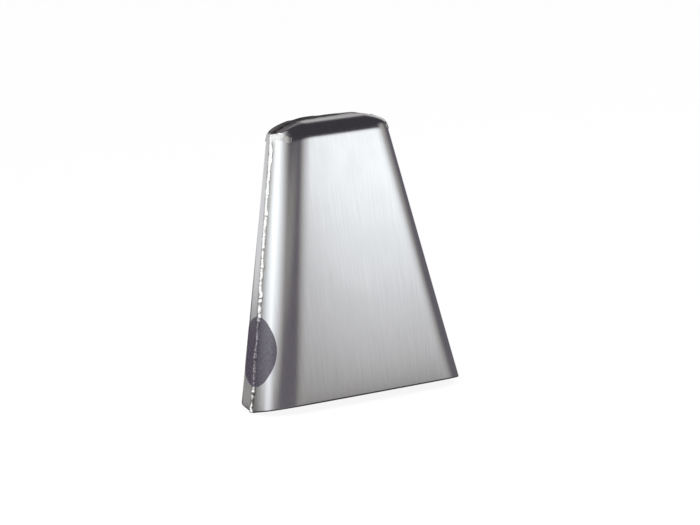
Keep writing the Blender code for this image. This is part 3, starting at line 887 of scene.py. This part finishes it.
turns = np.linspace(-np.pi, np.pi, TENT_STEPS + 1)
rises = np.linspace(-np.pi / 2, np.pi / 2, TENT_STEPS + 1)[:, None]
tent_x = TENT_RADIUS * np.cos(rises) * np.cos(turns)
tent_y = TENT_RADIUS * np.cos(rises) * np.sin(turns)
tent_z = np.maximum(TENT_MIDDLE + TENT_RADIUS * np.sin(rises) * np.ones_like(turns), GROUND_SHEET)
tent_points = np.stack([tent_x, tent_y, tent_z], -1)
tent_faces = grid_faces(numbered(tent_points))
tent_mesh = mesh_of("reflection_tent", tent_points.reshape(-1, 3), tent_faces)
tent = bpy.data.objects.new("reflection_tent", tent_mesh)
bpy.context.scene.collection.objects.link(tent)
tent.visible_camera = False
tent.visible_diffuse = False
tent.visible_transmission = False
tent.visible_shadow = False

# On the tent, the bearing is 0 in front of the bell and grows to the left, and the rise is 0 level
# with the tent's middle, both in degrees. The left light's near edge is drawn back by a degree for
# each degree of rise below EDGE_LOW, and above EDGE_HIGH by EDGE_FLARE for each, up to EDGE_MOST.
EDGE_LOW, EDGE_HIGH, EDGE_FLARE, EDGE_MOST = 13.0, 13.5, 4.0, 16.0

tent_cloth, tree, shader = new_material("tent_cloth")
on_tent = axes(tree, on_object(tree))
towards_left, towards_front = (joined(tree, "MULTIPLY", on_tent[k], -1.0) for k in (0, 1))
squares = [joined(tree, "MULTIPLY", way, way) for way in (towards_left, towards_front)]
level_way = joined(tree, "SQRT", joined(tree, "ADD", *squares))
bearing = joined(tree, "DEGREES", joined(tree, "ARCTAN2", towards_left, towards_front))
up_way = joined(tree, "SUBTRACT", on_tent[2], TENT_MIDDLE)
rise = joined(tree, "DEGREES", joined(tree, "ARCTAN2", up_way, level_way))
drawn_low = joined(tree, "SUBTRACT", EDGE_LOW, rise)
drawn_high = joined(tree, "MULTIPLY", joined(tree, "SUBTRACT", rise, EDGE_HIGH), EDGE_FLARE)
drawn_high = joined(tree, "MINIMUM", drawn_high, EDGE_MOST)
drawn_back = joined(tree, "SUBTRACT", bearing, joined(tree, "MAXIMUM", drawn_low, drawn_high))
full_bearing = joined(tree, "FLOORED_MODULO", bearing, 360.0)


def cloth(level, *edges):
    """Light from one cloth: its level, times a smooth step for each of its edges, which are a value
    and the angles where the cloth starts and is full."""
    light = level
    for value, start, full in edges:
        light = joined(tree, "MULTIPLY", light, ranged(tree, value, start, full))
    return light


DARKEST_CLOTH = 0.05
cloths = [
    # Dim cloth all round, a paler strip of it on the left, and the grey ground sheet.
    cloth(0.14, (rise, -62, -36), (rise, 18, 12)),
    cloth(0.35, (bearing, -20, 40), (bearing, 165, 142), (rise, 2, 9), (rise, 18, 12)),
    cloth(0.36, (bearing, -85, -60), (rise, -48, -26), (rise, -7, -11)),
    # The light to the right of the camera, in two steps, and its dim far end.
    cloth(1.12, (bearing, -88, -34), (bearing, 14, -30), (rise, -32, 14), (rise, 20, 8)),
    cloth(1.56, (bearing, -88, -34), (bearing, -12, -26), (rise, -18.6, 11.2), (rise, 20, 8)),
    cloth(0.45, (bearing, -100, -70), (bearing, -50, -63), (rise, -5, 8), (rise, 40, 14)),
    # The large light on the left, and its lower part, which starts further round.
    cloth(1.60, (drawn_back, 12, 130), (bearing, 165, 142), (rise, -4, 8), (rise, 75, 18)),
    cloth(1.45, (bearing, 64, 120), (bearing, 165, 142), (rise, -16, 6), (rise, 75, 40)),
    # Pale cloth behind, low down, and higher up towards the right.
    cloth(0.82, (full_bearing, 120, 140), (full_bearing, 206, 186), (rise, -7, 0), (rise, 16, 3)),
    cloth(1.00, (full_bearing, 196, 202), (full_bearing, 218, 210), (rise, -6, -2), (rise, 14, 8)),
    cloth(0.55, (bearing, -163, -154), (bearing, -95, -140), (rise, 15, 23), (rise, 66, 42)),
    cloth(0.80, (bearing, -150, -138), (bearing, -100, -125), (rise, 8, 16), (rise, 50, 34)),
    cloth(0.25, (full_bearing, 180, 184), (full_bearing, 206, 196), (rise, 24, 32), (rise, 66, 42)),
]
CLOTH_TINTS = [  # a level of light, and its tint
    (0.12, (1.10, 1.0, 1.18, 1)),
    (0.30, (1.035, 1.0, 0.955, 1)),
    (0.62, (1.005, 1.0, 1.025, 1)),
    (1.15, (0.97, 1.0, 1.02, 1)),
]
glow = DARKEST_CLOTH
for light in cloths:
    glow = joined(tree, "MAXIMUM", glow, light)
cast = CLOTH_TINTS[0][1]
for (low, _), (high, tint) in zip(CLOTH_TINTS, CLOTH_TINTS[1:]):
    cast = blended(tree, ranged(tree, glow, low, high), cast, tint)
glowing = add_node(tree, "Emission", {"Color": cast, "Strength": glow}).outputs[0]
tree.links.new(glowing, tree.nodes["Material Output"].inputs["Surface"])
tree.nodes.remove(shader)
tent_mesh.materials.append(tent_cloth)

# Camera.
# A long lens two metres away, to the left of the front panel and a little above the bell, rolled as
# the bell leans in the picture.

AZIMUTH, ELEVATION, ROLL = math.radians(26.58), math.radians(7.732), math.radians(-5.303)
DISTANCE, FOCAL_PX = 2.0784, 2939.8
CENTRE_PX = 338.494, 256.053
PICTURE = 700, 525
AIM = np.array([0, 0, 0.100])
SENSOR = 36

level_forward = np.array([math.sin(AZIMUTH), math.cos(AZIMUTH), 0]) * math.cos(ELEVATION)
forward = level_forward - [0, 0, math.sin(ELEVATION)]
level_right = np.array([math.cos(AZIMUTH), -math.sin(AZIMUTH), 0])
level_up = np.cross(level_right, forward)
right = math.cos(ROLL) * level_right + math.sin(ROLL) * level_up
up = -math.sin(ROLL) * level_right + math.cos(ROLL) * level_up
lens = bpy.data.cameras.new("camera")
lens.sensor_width = SENSOR
lens.lens = FOCAL_PX * SENSOR / PICTURE[0]
lens.shift_x = (PICTURE[0] / 2 - CENTRE_PX[0]) / PICTURE[0]
lens.shift_y = (CENTRE_PX[1] - PICTURE[1] / 2) / PICTURE[0]
camera = bpy.data.objects.new("camera", lens)
bpy.context.scene.collection.objects.link(camera)
set_in_place(camera, right, up, -forward, AIM - forward * DISTANCE)
bpy.context.scene.camera = camera
bpy.context.scene.view_settings.view_transform = "Standard"
